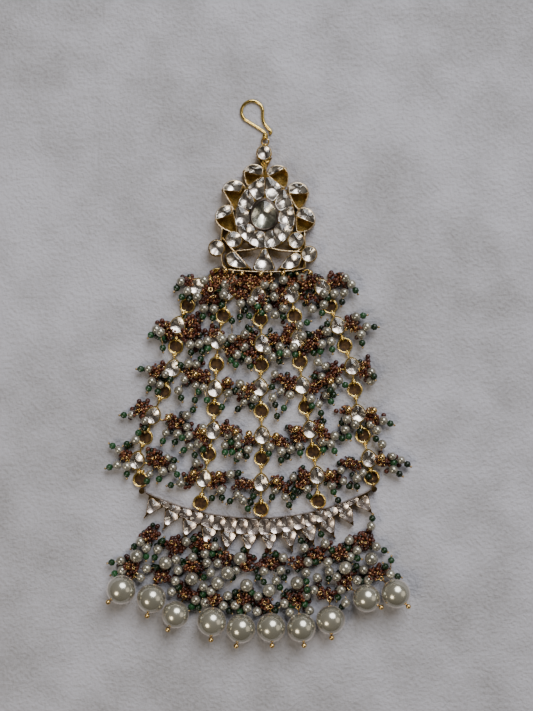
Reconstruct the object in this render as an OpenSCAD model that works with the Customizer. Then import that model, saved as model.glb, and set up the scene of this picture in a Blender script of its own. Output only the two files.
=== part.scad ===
// Passa jhoomar headpiece: a hook, a soldered crown of flat-backed stones, five chains of
// pear-shaped collets with bead bunches, a crescent bar with spikes and a fringe of pearls.
// It lies on its back: +X to the right, +Y towards the hook, +Z up from the surface it lies on.
// Sizes are in millimetres.

/* [Wire and rings] */
// Outer diameter of a chain ring
ring_od = 4.7; // [4.4:0.1:4.8]
// Thickness of the chain ring's wire
ring_wire = 0.55; // [0.45:0.05:0.6]
// Thickness of the wire of the small eyes
eye_wire = 0.4; // [0.3:0.05:0.42]
// Height of the chain above the surface
chain_z = 1; // [1:0.05:1.1]

/* [Collets] */
// Width of a pear-shaped collet
collet_w = 5; // [4.6:0.1:5]
// Length of a pear-shaped collet from tip to round end
collet_h = 6; // [5.6:0.1:6.2]
// Depth of a collet
collet_depth = 2.4; // [2:0.1:2.5]
// Thickness of the gold walls around the stones
wall = 0.4; // [0.35:0.05:0.45]
// Thickness of the gold backs
back = 0.9; // [0.8:0.1:1]
// Clearance around each loose stone or bead
gap = 0.1; // [0.1:0.01:0.14]

/* [Crown] */
// Height of the crown's walls
crown_depth = 4.2; // [3.6:0.1:4.6]
// Thickness of the gold sheet behind the open half of each petal
petal_back = 0.4; // [0.3:0.1:0.6]
// Half width of the crown's pear-shaped field
field_r = 9.3; // [9:0.1:9.5]
// Height from the middle of the field to its tip
field_tip = 13.4; // [13:0.1:13.8]
// Half width of the central pear stone's setting
heart_r = 4.6; // [4.3:0.1:4.8]
// Height from the middle of the central setting to its tip
heart_tip = 6; // [5.6:0.1:6.4]

/* [Crescent bar] */
// Radius of the bar's upper edge
bar_upper_r = 76.4; // [76:0.1:77]
// Radius of the bar's lower edge
bar_lower_r = 52.1; // [51.8:0.1:52.4]
// Height of the bar's walls
bar_depth = 3; // [2.6:0.1:3.4]
// Length of a spike from the bar's edge to its point
spike_len = 5.6; // [5:0.1:6]
// Angle between neighbouring spikes
spike_pitch = 6.8; // [6.6:0.05:6.9]

/* [Beads] */
// Diameter of the small pearls
small_pearl = 2.8; // [2.5:0.1:2.9]
// Diameter of the green beads
green_bead = 2.1; // [1.9:0.1:2.2]
// Diameter of a bunch's ball of red seed beads
seed_ball = 2.6; // [2.2:0.1:2.7]
// Thickness of the pins that carry the beads
pin = 0.45; // [0.4:0.05:0.5]

/* [Hidden] */
$fn = 48;
arc_fn = 480;
ring_r = (ring_od - ring_wire) / 2;
oval_r = 1.3;
eye_r = 0.7;
small_eye_r = 0.62;
// How far the small eyes on a collet's sides stand out from its wall
side_eye = 0.5;
hook_centre = [-2.3, 81.35];
hook_r = 3.4;
hook_wire = 0.9;
hook_ring_centre = [1.75, 71.85];
hook_ring_r = 1.1;
hook_ring_wire = 0.5;
field_centre = [1.7, 47.7];
heart_centre = [1.4, 48.2];

// Crown: round settings. Columns: name, x, y, outer radius
rounds = [
  ["crown_top_stone", 1.4, 67.9, 2.4],
  ["round_left_inner_stone", -7.9, 41.2, 2.7],
  ["round_right_inner_stone", 11.3, 40.9, 2.7],
  ["round_left_corner_stone", -13.2, 38.6, 2.6],
  ["round_right_corner_stone", 15.3, 36.7, 2.6],
];

// Crown: petals. Columns: name, x, y, outer radius, first and last angle of the stone's round
// edge, the stone's inner corner from the petal's centre, and the corners of the petal's lower half
petals = [
  ["moon_left_top_stone", -1.7, 60.9, 3.6, 40, 152, 2.3, 0.3, [[-4.7, 60.7], [-3.6, 57.7], [0.8, 59.8]]],
  ["moon_right_top_stone", 5.6, 60.6, 3.6, 55, 150, -2.6, 0.5,
   [[2.6, 60.8], [7.7, 56.9], [8.9, 59.2], [8.9, 61.7]]],
  ["moon_left_upper_stone", -7.8, 55.8, 3.8, 42, 165, 1.7, 0.4,
   [[-10.7, 55.2], [-9.1, 52.5], [-7.3, 49.9], [-4.2, 56.4]]],
  ["moon_right_upper_stone", 11.6, 55.2, 3.7, 8, 140, -2.2, 0.3,
   [[9.3, 54.6], [11.9, 50.2], [14.1, 52.2], [15, 54.2]]],
  ["moon_left_middle_stone", -9.9, 48.1, 3.8, 80, 188, 1.2, 1.2,
   [[-13.2, 46.5], [-12.3, 45.3], [-10.7, 44.2], [-6.7, 43.1], [-8.2, 50.5]]],
  ["moon_right_middle_stone", 13.5, 47.3, 3.8, -15, 100, -1.9, 1.2,
   [[11.3, 49.3], [11.3, 43.7], [13.6, 43.4], [15.2, 44], [16.6, 45.3]]],
];

// Crown: stones of the base. Columns: name, and the corners of the stone
base_stones = [
  ["leaf_left_stone", [[-4, 32.8], [-6.4, 35.8], [-8.3, 37.2], [-10.2, 36.2], [-9.2, 33.4], [-6, 32.6]]],
  ["triangle_stone", [[1.9, 38], [1.2, 38], [-1.5, 32.7], [-1.1, 31.95], [3.9, 31.85], [4.3, 32.6]]],
  ["leaf_right_stone", [[12.8, 35.9], [11, 36.8], [8.8, 35.5], [6.8, 32.7], [8.6, 32.3], [11.7, 33.1]]],
];

// Crown: gold strips on edge, each a run of points
crown_strips = [
  [[-11.5, 44.8], [-11.9, 41], [-11.6, 34.4], [-10.1, 32.1], [-5.1, 31.5], [0.8, 31.2], [7.9, 31.4],
   [13.5, 32.3], [14.2, 34.4], [13.9, 44]],
  [[-11.4, 41.6], [-2.9, 32.2]],
  [[12.9, 38.6], [5.8, 32]],
  [[-7.6, 37.6], [-2.9, 38.1], [1.6, 39]],
  [[1.6, 39], [6.7, 37.8], [13, 37.4]],
  [[1.1, 66.5], [1.3, 61]],
  [[1.9, 66.5], [2, 61]],
];

// Angles of the field's partitions on its left half, mirrored on the right
field_cuts = [90, 120, 155, 197, 235, 270];

// Eyelets below the crown, one for each chain
crown_eyelets = [[-10.6, 31.5], [-5.4, 30.7], [0.6, 30.4], [7.3, 30.55], [13.5, 31.4]];
// The bar's two arcs, and the rounded ends of its horns
bar_upper_centre = [-1.1, 31.4];
bar_lower_centre = [-0.8, 2];
horns = [[-36.4, -36.5], [35.5, -35.9]];
horn_r = 0.9;
// Chains: the centres of the five collets of each, from the crown to the bar
chains = [
  [[-19.4, 27], [-25.3, 14.9], [-26.8, 1.6], [-33, -13], [-38, -27]],
  [[-9.8, 25.4], [-12.9, 10.2], [-13.8, -4.7], [-14.4, -17.7], [-17.2, -32.6]],
  [[-0.4, 24.2], [0.8, 9.3], [0.2, -4.3], [0.8, -19.2], [0.5, -33.8]],
  [[9.8, 24.5], [11.9, 10.9], [13.2, -3.7], [15.7, -17.4], [17.8, -31.6]],
  [[19.4, 26.7], [24.3, 14.9], [28.7, 2.2], [30.5, -12.4], [33.9, -26.4]],
];

// Eyelets on the bar's horns and on its upper edge, one for each chain
function on_horn(h, k) = h + polar(horn_r + 0.45, heading(h, chains[k][4]));
function on_bar(x) = [x, bar_upper_centre[1] - sqrt(bar_upper_r ^ 2 - (x - bar_upper_centre[0]) ^ 2) + 0.6];
bar_eyelets = [on_horn(horns[0], 0), on_bar(-18.6), on_bar(0.5), on_bar(18.4), on_horn(horns[1], 4)];

// Big pearls of the fringe. Columns: x, y, diameter, heading of the pin's ball end
big_pearls = [
  [-42.6, -66.7, 9, -137],
  [-33.3, -69.4, 9, -103],
  [-25.9, -74.4, 8.4, -117],
  [-14.7, -76.6, 9, -92],
  [-5.7, -78.7, 9, -106],
  [3.6, -78.4, 9, -87],
  [12.9, -78.4, 9, -81],
  [21.9, -76, 9, -87],
  [33, -69.4, 8.6, -30],
  [42, -67.9, 9, -45],
];
ball_r = 0.8;
// Clearance between a pearl and the ball at its pin's end, and around the pin in the pearl
ball_gap = 0.15;
drill_gap = 0.12;

bar_turn = 0.7;
bar_back = 0.8;
spike_count = 12;
bar_stone_count = 18;
bar_stone_pitch = 4.1;

// Small vector helpers
function polar(r, a) = [r * cos(a), r * sin(a)];
function heading(a, b) = atan2(b[1] - a[1], b[0] - a[0]);
function at_z(p, z) = [p[0], p[1], z];
function sum(v, i = 0) = i < len(v) ? v[i] + sum(v, i + 1) : 0;
function mean(pts) = [for (i = [0, 1]) sum([for (p = pts) p[i]]) / len(pts)];

// A rod between two points, and a ball
module rod(a, b, r) {
  v = b - a;
  translate(a) rotate([0, acos(v[2] / norm(v)), atan2(v[1], v[0])]) cylinder(r = r, h = norm(v));
}
module ball(p, r) translate(p) sphere(r);

// A line of strips on edge, seen from above
module strip_2d(points, width) {
  for (i = [1:len(points) - 1])
    translate(points[i - 1]) rotate(heading(points[i - 1], points[i]))
      translate([0, -width / 2]) square([norm(points[i] - points[i - 1]), width]);
  for (p = points) translate(p) circle(d = width + 0.06);
}

// Round wire eyes: flat, or standing on edge along a heading
module wire_ring(r, wire) rotate_extrude() translate([r, 0]) circle(d = wire);
module flat_eye(p) translate(p) wire_ring(small_eye_r, eye_wire);
module standing_eye(p, a, r = small_eye_r) translate(p) rotate([90, 0, a]) wire_ring(r, eye_wire);

// A ring, or an oval link where its two ends are further apart than a ring is wide
module wire_link(a, b, wire) {
  r = norm(b - a) > 2 * ring_r + 0.05 ? oval_r : norm(b - a) / 2;
  straight = norm(b - a) - 2 * r;
  translate(at_z(a, chain_z)) rotate(heading(a, b)) translate([r, 0, 0])
    if (straight < 0.05) wire_ring(r, wire);
    else {
      rotate(90) rotate_extrude(angle = 180) translate([r, 0]) circle(d = wire);
      translate([straight, 0, 0]) rotate(-90) rotate_extrude(angle = 180) translate([r, 0]) circle(d = wire);
      for (y = [-r, r]) translate([0, y, 0]) rotate([0, 90, 0]) cylinder(d = wire, h = straight);
    }
}

// A pear outline: a half circle of radius r closed by two arcs that meet at height tip
function pear_side_r(r, tip) = (tip * tip + r * r) / (2 * r);
module pear(r, tip) {
  side = pear_side_r(r, tip);
  intersection() {
    circle(r);
    translate([-r, -r]) square([2 * r, r]);
  }
  intersection() {
    translate([r - side, 0]) circle(side);
    translate([side - r, 0]) circle(side);
    translate([-r, 0]) square([2 * r, tip]);
  }
}
// The point of a pear outline at an angle from its middle
function pear_point(r, tip, a) =
  sin(a) <= 0 ? polar(r, a) :
  let (side = pear_side_r(r, tip), c = cos(a) < 0 ? side - r : r - side, k = c * cos(a))
  polar(k + sqrt(k * k - c * c + side * side), a);

// A cut stone: straight below, two rows of facets above and a flat table
module stone(outline, bottom, girdle, top) {
  n = len(outline);
  c = mean(outline);
  tiers = [[1, bottom], [1, girdle], [0.86, girdle + 0.6 * (top - girdle)], [0.58, top]];
  points = [for (t = tiers) for (p = outline) at_z(c + (p - c) * t[0], t[1])];
  sides = [for (t = [0:2]) for (i = [0:n - 1])
    [t * n + i, (t + 1) * n + i, (t + 1) * n + (i + 1) % n, t * n + (i + 1) % n]];
  polyhedron(points, concat(sides, [[for (i = [0:n - 1]) i]], [[for (i = [n - 1:-1:0]) 3 * n + i]]));
}
module crown_stone(outline) stone(outline, back + gap, crown_depth - 0.5, crown_depth + 0.4);
module thin_stone(outline, floor_z, wall_z) stone(outline, floor_z + gap, wall_z - 0.4, wall_z + 0.3);
function circle_outline(c, r, n) = [for (i = [0:n - 1]) c + polar(r, 360 * i / n)];
function pear_outline(c, r, tip, n) = [for (i = [0:n - 1]) c + pear_point(r, tip, 90 + 360 * i / n)];

// Hook: a stout wire bent to a tear-shaped loop with a curled free end, and its eye
module hook() color("goldenrod") {
  left_leave = -127;
  right_leave = -5;
  linear_extrude(hook_wire) {
    difference() {
      translate(hook_centre) circle(hook_r + hook_wire / 2);
      translate(hook_centre) circle(hook_r - hook_wire / 2);
      translate(hook_centre) polygon([[0, 0], polar(6, left_leave), polar(9, -66), polar(6, right_leave)]);
    }
    strip_2d([hook_centre + polar(hook_r, left_leave), [1.2, 75.2], [1.75, 74.15]], hook_wire);
    strip_2d([hook_centre + polar(hook_r, right_leave), [1, 79.4], [1.6, 77.5], [2.8, 76.1], [3.5, 75.2],
              [3.4, 74.6]], hook_wire);
  }
  standing_eye(at_z(hook_ring_centre + [0, hook_ring_r], chain_z), 90);
}
module hook_ring() color("goldenrod")
  translate(at_z(hook_ring_centre, chain_z)) wire_ring(hook_ring_r, hook_ring_wire);

// Crown: outlines of the stones, seen from above
function round_outline(r) = circle_outline([r[1], r[2]], r[3] - wall - gap, 10);
function petal_outline(p) = concat(
  [for (i = [0:7]) [p[1], p[2]] + polar(p[3] - wall - gap, p[4] + (p[5] - p[4]) * i / 7)],
  [[p[1] + p[6], p[2] + p[7]]]);
function petal_frame(p) = concat(
  [for (i = [0:11]) [p[1], p[2]] + polar(p[3], p[4] + (p[5] - p[4]) * i / 11)], p[8]);
small_outlines = concat(
  [for (r = rounds) round_outline(r)], [for (p = petals) petal_outline(p)], [for (b = base_stones) b[1]]);
field_angles = concat(field_cuts, [for (i = [4:-1:1]) 540 - field_cuts[i]]);
function field_stone(i) =
  let (edge = 2, a = field_angles[i] + edge, b = field_angles[(i + 1) % 10] + (i == 9 ? 360 : 0) - edge)
  let (inset = wall + gap + 0.02, inner = 1.07)
  concat(
    [for (j = [0:3]) field_centre + pear_point(field_r - inset, field_tip - 1.3 * inset, a + (b - a) * j / 3)],
    [for (t = [b - 3, a + 3])
      let (near = field_centre + inner * pear_point(heart_r, heart_tip, t))
      heart_centre + inner * pear_point(heart_r + gap, heart_tip + 2 * gap, heading(heart_centre, near))]);

// Crown: everything that is gold, and the pockets in it, seen from above
module crown_outline_2d() {
  translate(field_centre) pear(field_r, field_tip);
  for (p = petals) difference() {
    polygon(petal_frame(p));
    offset(delta = -wall) polygon(petal_frame(p));
  }
  for (r = rounds) translate([r[1], r[2]]) circle(r[3]);
  for (o = small_outlines) offset(delta = gap + wall) polygon(o);
  for (s = crown_strips) strip_2d(s, wall + 0.1);
}
module crown_pockets_2d() {
  difference() {
    translate(field_centre) pear(field_r - wall, field_tip - 1.3 * wall);
    translate(heart_centre) pear(heart_r, heart_tip);
    for (a = field_angles) translate(field_centre) rotate(a) translate([0, -wall / 2]) square([20, wall]);
  }
  translate(heart_centre) pear(heart_r - wall, heart_tip - 1.3 * wall);
  for (o = small_outlines) offset(delta = gap) polygon(o);
}
module crown_frame() color("goldenrod") {
  difference() {
    linear_extrude(crown_depth) crown_outline_2d();
    translate([0, 0, back]) linear_extrude(crown_depth) crown_pockets_2d();
  }
  linear_extrude(petal_back) for (p = petals) offset(delta = -wall / 2) polygon(petal_frame(p));
  standing_eye(at_z(hook_ring_centre - [0, hook_ring_r], chain_z), 90);
  for (k = [0:4]) standing_eye(at_z(crown_eyelets[k], chain_z), heading(crown_eyelets[k], chains[k][0]), eye_r);
}
module crown_field_stones() color("gainsboro") for (i = [0:9]) crown_stone(field_stone(i));
module crown_pear_stone() color("gainsboro")
  crown_stone(pear_outline(heart_centre, heart_r - wall - gap - 0.01, heart_tip - 1.35 * (wall + gap), 14));

// Chains: how far each collet's end eyes lie from its middle, and the points that the links join
first_reach = 4.3;
last_reach = 3.9;
function chain_point(k, i) = i < 0 ? crown_eyelets[k] : i > 4 ? bar_eyelets[k] : chains[k][i];
function span(k, i) = norm(chain_point(k, i) - chain_point(k, i - 1));
function link_length(k, i) =
  i == 0 ? span(k, 0) - first_reach : i == 5 ? min(2 * ring_r, span(k, 5) - last_reach) : 2 * ring_r;
function up_reach(k, i) = i == 0 ? first_reach : (span(k, i) - link_length(k, i)) / 2;
function down_reach(k, i) = i == 4 ? span(k, 5) - link_length(k, 5) : (span(k, i + 1) - link_length(k, i + 1)) / 2;
function collet_turn(k, i) = heading(chain_point(k, i + 1), chain_point(k, i - 1)) - 90;
belly = [0, (collet_w - collet_h) / 2];
function belly_point(k, i) =
  let (t = collet_turn(k, i)) chains[k][i] + [-belly[1] * sin(t), belly[1] * cos(t)];

module collet(k, i) {
  c = chains[k][i];
  neck = 0.55;
  tip = collet_h - collet_w / 2;
  translate(c) rotate(collet_turn(k, i)) translate(belly) difference() {
    linear_extrude(collet_depth) pear(collet_w / 2, tip);
    translate([0, 0, bar_back]) linear_extrude(collet_depth) pear(collet_w / 2 - wall, tip - 1.3 * wall);
  }
  for (end = [[i - 1, up_reach(k, i)], [i + 1, down_reach(k, i)]]) {
    a = heading(c, chain_point(k, end[0]));
    eye = end[1];
    rod(at_z(c + polar(collet_h / 2 - 0.3, a), chain_z), at_z(c + polar(eye - eye_r, a), chain_z), neck / 2);
    standing_eye(at_z(c + polar(eye, a), chain_z), a, eye_r);
  }
  for (side = [0, 180]) {
    a = collet_turn(k, i) + side;
    standing_eye(at_z(belly_point(k, i) + polar(collet_w / 2 + side_eye, a), chain_z), a);
  }
}
module strand_links(k) color("goldenrod") {
  for (i = [0:4]) collet(k, i);
  for (i = [0:5]) {
    a = chain_point(k, i - 1);
    b = chain_point(k, i);
    u = (b - a) / norm(b - a);
    start = i == 0 ? 0 : down_reach(k, i - 1);
    wire_link(a + u * start, a + u * (start + link_length(k, i)), ring_wire);
  }
}
module strand_stones(k) color("gainsboro") for (i = [0:4])
  let (t = collet_turn(k, i), inset = wall + gap + 0.01, tip = collet_h - collet_w / 2 - 1.3 * inset)
  thin_stone(
    [for (p = pear_outline(belly, collet_w / 2 - inset, tip, 10))
      chains[k][i] + [p[0] * cos(t) - p[1] * sin(t), p[0] * sin(t) + p[1] * cos(t)]],
    bar_back, collet_depth);

// The outer form of a bead bunch, in three locks side by side that start from a ball of seed beads.
// Columns of a form: distance along it, part of the full half width, half height, depth of the
// hollows between the locks
bunch_form = [[0.9, 0, 0.5, 0], [1.9, 0, 1.3, 0], [3, 0.1, 0.8, 0.3], [4.4, 0.7, 1.4, 0.35], [6.2, 1, 1.3, 0.5],
              [8.1, 0.9, 0.7, 0.5]];
form_sides = 12;
module lock_form(start, a, half_width, form, lift = 0, stretch = 1) {
  n = form_sides;
  points = [for (f = form) for (i = [0:n - 1])
    let (t = 360 * i / n, half = max(f[2], half_width * f[1]), side = half * cos(t))
    let (lock = 1 - f[3] * (1 + cos(540 * cos(t))) / 2 * min(1, half_width / 3))
    [f[0] * stretch, side, lift + f[2] + 0.05 + f[2] * sin(t) * (sin(t) > 0 ? lock : 1)]];
  sides = [for (j = [0:len(form) - 2]) for (i = [0:n - 1])
    [j * n + i, (j + 1) * n + i, (j + 1) * n + (i + 1) % n, j * n + (i + 1) % n]];
  translate(start) rotate(a)
    polyhedron(points, concat(sides, [[for (i = [0:n - 1]) i]], [[for (i = [n - 1:-1:0]) (len(form) - 1) * n + i]]));
}

// A bead bunch that hangs on a flat eye
module bunch(eye, aim, half_width, lift) {
  flat_eye(eye);
  rod(eye + at_z(polar(small_eye_r - 0.07, aim), 0), at_z(eye + polar(1.6, aim), lift + seed_ball / 2), pin / 2);
  lock_form([eye[0], eye[1], 0], aim, half_width, bunch_form, lift);
}
// Bunches reach to the middle of the space between two chains. Where the chains are close the
// bunches of one chain lie over those of the other
close_chains = 12;
over = 3.2;
bunch_reach = 8.1;
function ring_centre(k, i) = (chain_point(k, i) + chain_point(k, i + 1)) / 2;
function bunch_aim(k, i, side, eye, space, half_width) =
  let (own = ring_centre(k, i), other = ring_centre(k + side, i))
  space < close_chains ? heading(eye, (own + other) / 2) :
  let (beside = own + (other - own) / norm(other - own) * (ring_od / 2 + 0.3 + half_width) - eye)
  let (to_middle = space / 2 - collet_w / 2 - 1.3 - 0.95 * half_width)
  -90 + side * max(asin(to_middle / bunch_reach), atan2(side * beside[0], -beside[1]));
module strand_bunches(k) color("firebrick") for (i = [0:4]) for (side = [-1, 1]) {
  outer = k + side < 0 || k + side > 4;
  space = outer ? 40 : norm(chains[k + side][i] - chains[k][i]);
  half_width = outer ? 3.4 : space < 16 ? 1.8 : 2.5;
  out = collet_turn(k, i) + (side > 0 ? 0 : 180);
  eye = belly_point(k, i) + polar(collet_w / 2 + side_eye + small_eye_r, out);
  bunch(
    at_z(eye, chain_z), outer ? out - side * 20 : bunch_aim(k, i, side, eye, space, half_width),
    half_width, space < close_chains && side < 0 ? over : 0);
}

// Crescent bar: a point at an angle from its middle, on the upper edge (0) or the lower edge (1)
function bar_point(a, part, inset = 0) =
  let (u = polar(1, a + bar_turn - 90), d = bar_lower_centre - bar_upper_centre, k = u * d)
  let (inner = -k + sqrt(k * k - d * d + bar_upper_r * bar_upper_r) + inset, outer = bar_lower_r - inset)
  bar_lower_centre + u * (inner + (outer - inner) * part);
function bar_stone(i) =
  let (a = (i - bar_stone_count / 2 + 0.5) * bar_stone_pitch, h = bar_stone_pitch / 2 - 0.35, c = h - 0.45)
  let (inset = wall + gap)
  [for (q = [[-c, 1], [c, 1], [h, 0.8], [h, 0.2], [c, 0], [-c, 0], [-h, 0.2], [-h, 0.8]])
    bar_point(a + q[0], q[1], inset)];

// Spikes: triangles hung below the bar. They start inside its edge, with a gap in degrees between them
spike_root = 0.2;
spike_gap = 0.15;
function spike_angle(i) = (i - spike_count / 2 + 0.5) * spike_pitch + bar_turn - 90;
function spike_point(i, r, a) = bar_lower_centre + polar(r, spike_angle(i) + a);
function spike_corners(i) = [
  spike_point(i, bar_lower_r - spike_root, -spike_pitch / 2 + spike_gap),
  spike_point(i, bar_lower_r + spike_len, 0),
  spike_point(i, bar_lower_r - spike_root, spike_pitch / 2 - spike_gap)];
function incentre(t) =
  let (w = [norm(t[1] - t[2]), norm(t[2] - t[0]), norm(t[0] - t[1])])
  (t[0] * w[0] + t[1] * w[1] + t[2] * w[2]) / sum(w);
function shrunk(t, s) = let (c = incentre(t)) [for (p = t) c + (p - c) * s];
function cut_corners(t, part) =
  [for (i = [0:2]) for (q = [[(i + 2) % 3, part], [(i + 1) % 3, part]]) t[i] + (t[q[0]] - t[i]) * q[1]];
spike_stone_size = 0.7;
corner_cut = 0.13;
function spike_stone(i) = cut_corners(shrunk(spike_corners(i), spike_stone_size), corner_cut);
function spike_eye(i) = spike_point(i, bar_lower_r + spike_len + 0.35, 0);

module bar_frame() color("goldenrod") {
  difference() {
    linear_extrude(bar_depth) {
      difference() {
        translate(bar_lower_centre) circle(bar_lower_r, $fn = arc_fn);
        translate(bar_upper_centre) circle(bar_upper_r, $fn = arc_fn);
      }
      for (h = horns) translate(h) circle(horn_r);
      for (i = [0:spike_count - 1]) polygon(spike_corners(i));
    }
    translate([0, 0, bar_back]) linear_extrude(bar_depth) {
      for (i = [0:bar_stone_count - 1]) offset(delta = gap) polygon(bar_stone(i));
      for (i = [0:spike_count - 1]) offset(delta = gap) polygon(spike_stone(i));
    }
  }
  for (i = [0:spike_count - 1]) standing_eye(at_z(spike_eye(i), chain_z), spike_angle(i));
  for (k = [0:4]) standing_eye(at_z(bar_eyelets[k], chain_z), heading(bar_eyelets[k], chains[k][4]), eye_r);
}
module bar_stones() color("gainsboro")
  for (i = [0:bar_stone_count - 1]) thin_stone(bar_stone(i), bar_back, bar_depth);
module spike_stones() color("gainsboro")
  for (i = [0:spike_count - 1]) thin_stone(spike_stone(i), bar_back, bar_depth);

// Fringe: from a spike's eye through two bead clusters to the head pin of a big pearl
cluster_form = [[0.9, 0, 0.5, 0], [1.9, 0.3, 1.4, 0], [3.2, 1, 1.7, 0.4], [4.8, 1, 1.6, 0.5], [6.2, 0.7, 1.4, 0.5],
                [7.1, 0.4, 0.6, 0]];
pin_eye_z = 3;
cluster_half_width = 2.9;
function pearl_r(k) = big_pearls[k][2] / 2;
function pearl_centre(k) = [big_pearls[k][0], big_pearls[k][1], pearl_r(k)];
function pin_eye(k) = at_z(
  [big_pearls[k][0], big_pearls[k][1]] - polar(pearl_r(k) + small_eye_r + 0.5, big_pearls[k][3]), pin_eye_z);
function pin_end(k) =
  let (v = pearl_centre(k) - pin_eye(k)) pearl_centre(k) + v / norm(v) * (pearl_r(k) + ball_r + ball_gap);

// A cluster of beads between a flat eye and a standing eye
module cluster(start, end) {
  a = heading(start, end);
  flat_eye(start);
  standing_eye(end, a);
  rod(start + at_z(polar(small_eye_r, a), 0), end - at_z(polar(small_eye_r, a), 0), pin / 2);
  lock_form([start[0], start[1], 0], a, cluster_half_width, cluster_form, stretch = (norm(end - start) - small_eye_r) / 7.3);
}
module fringe_string(k) color("firebrick") {
  low = pin_eye(k);
  top = at_z(spike_eye(k + 1), chain_z);
  middle = at_z((top + low) / 2, chain_z + 0.2);
  step = at_z(polar(small_eye_r, heading(top, low)), 0);
  cluster(top + step, middle);
  cluster(middle + step, low - step);
  flat_eye(low);
  v = pin_end(k) - low;
  rod(low + v / norm(v) * small_eye_r, pin_end(k), pin / 2);
  ball(pin_end(k), ball_r);
  if (k == 0 || k == 9) end_drop(k == 0 ? 0 : 11);
}
// The short drop below the first and the last spike
module end_drop(i) {
  aim = -90;
  eye = spike_eye(i) + polar(small_eye_r, spike_angle(i));
  pearl = at_z(eye + polar(2.6, aim), small_pearl / 2);
  flat_eye(at_z(eye, chain_z));
  rod(at_z(eye + polar(small_eye_r, aim), chain_z), pearl, pin / 2);
  ball(pearl, small_pearl / 2);
  ball(at_z(eye + polar(4.8, aim), green_bead / 2), green_bead / 2);
}
module fringe_pearl(k) color("ivory") difference() {
  ball(pearl_centre(k), pearl_r(k));
  rod(pin_eye(k), pin_end(k), pin / 2 + drill_gap);
}

// Everything, with the middle of its outline on the origin
centring = [1.82, -0.32, 0];
translate(centring) {
  hook();
  hook_ring();
  crown_frame();
  crown_field_stones();
  crown_pear_stone();
  for (r = rounds) color("gainsboro") crown_stone(round_outline(r));
  for (p = petals) color("gainsboro") crown_stone(petal_outline(p));
  for (b = base_stones) color("gainsboro") crown_stone(b[1]);
  for (k = [0:4]) strand_links(k);
  for (k = [0:4]) strand_stones(k);
  for (k = [0:4]) strand_bunches(k);
  bar_frame();
  bar_stones();
  spike_stones();
  for (k = [0:9]) fringe_string(k);
  for (k = [0:9]) fringe_pearl(k);
}
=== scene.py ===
"""Looks of the passa jhoomar headpiece: foil-backed stones, antique gold, bead bunches and pearls."""

import math
import random

import bpy
import numpy as np
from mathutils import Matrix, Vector


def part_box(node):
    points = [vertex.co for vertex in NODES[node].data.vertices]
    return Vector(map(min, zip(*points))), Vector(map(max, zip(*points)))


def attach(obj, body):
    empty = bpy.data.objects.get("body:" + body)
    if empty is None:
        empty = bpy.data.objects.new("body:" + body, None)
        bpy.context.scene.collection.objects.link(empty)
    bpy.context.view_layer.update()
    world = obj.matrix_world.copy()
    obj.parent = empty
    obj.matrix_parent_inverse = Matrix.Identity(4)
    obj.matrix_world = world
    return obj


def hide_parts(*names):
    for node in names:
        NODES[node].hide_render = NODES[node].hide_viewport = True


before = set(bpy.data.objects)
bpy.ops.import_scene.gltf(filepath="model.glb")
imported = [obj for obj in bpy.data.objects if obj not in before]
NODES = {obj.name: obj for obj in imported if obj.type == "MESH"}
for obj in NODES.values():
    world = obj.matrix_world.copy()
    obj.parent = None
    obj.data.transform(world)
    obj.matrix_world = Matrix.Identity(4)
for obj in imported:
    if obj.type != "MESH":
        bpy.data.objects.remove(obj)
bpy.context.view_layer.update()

MM = 0.001
CHAINS = range(1, 6)
STRINGS = range(1, 11)

# The headpiece was measured on a photograph taken from straight above: this many millimetres to
# a pixel, and the pixel that lies on the frame's origin
PIXEL = 0.31
ORIGIN_PIXEL = (253.63, 371.97)
PICTURE = (533, 711)
# A pixel has that size at this level above the cloth, for a camera this far above the level
MEASURED_LEVEL = 2
CAMERA_DISTANCE = 400


def place(spot):
    """Millimetres from the frame's origin of a spot read off the photograph."""
    return (spot[0] - ORIGIN_PIXEL[0]) * PIXEL, (ORIGIN_PIXEL[1] - spot[1]) * PIXEL


# Shader maths


class Signal:
    """A socket in a finish's node board, so that maths on it reads as plain arithmetic."""

    def __init__(self, board, socket):
        self.board = board
        self.socket = socket

    def maths(self, operation, *values):
        """A Math node on these values, of which some are signals."""
        return self.board.node("ShaderNodeMath", {"operation": operation}, dict(enumerate(values)))

    def __add__(self, other):
        return self.maths("ADD", self, other)

    __radd__ = __add__

    def __mul__(self, other):
        return self.maths("MULTIPLY", self, other)

    __rmul__ = __mul__


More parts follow.
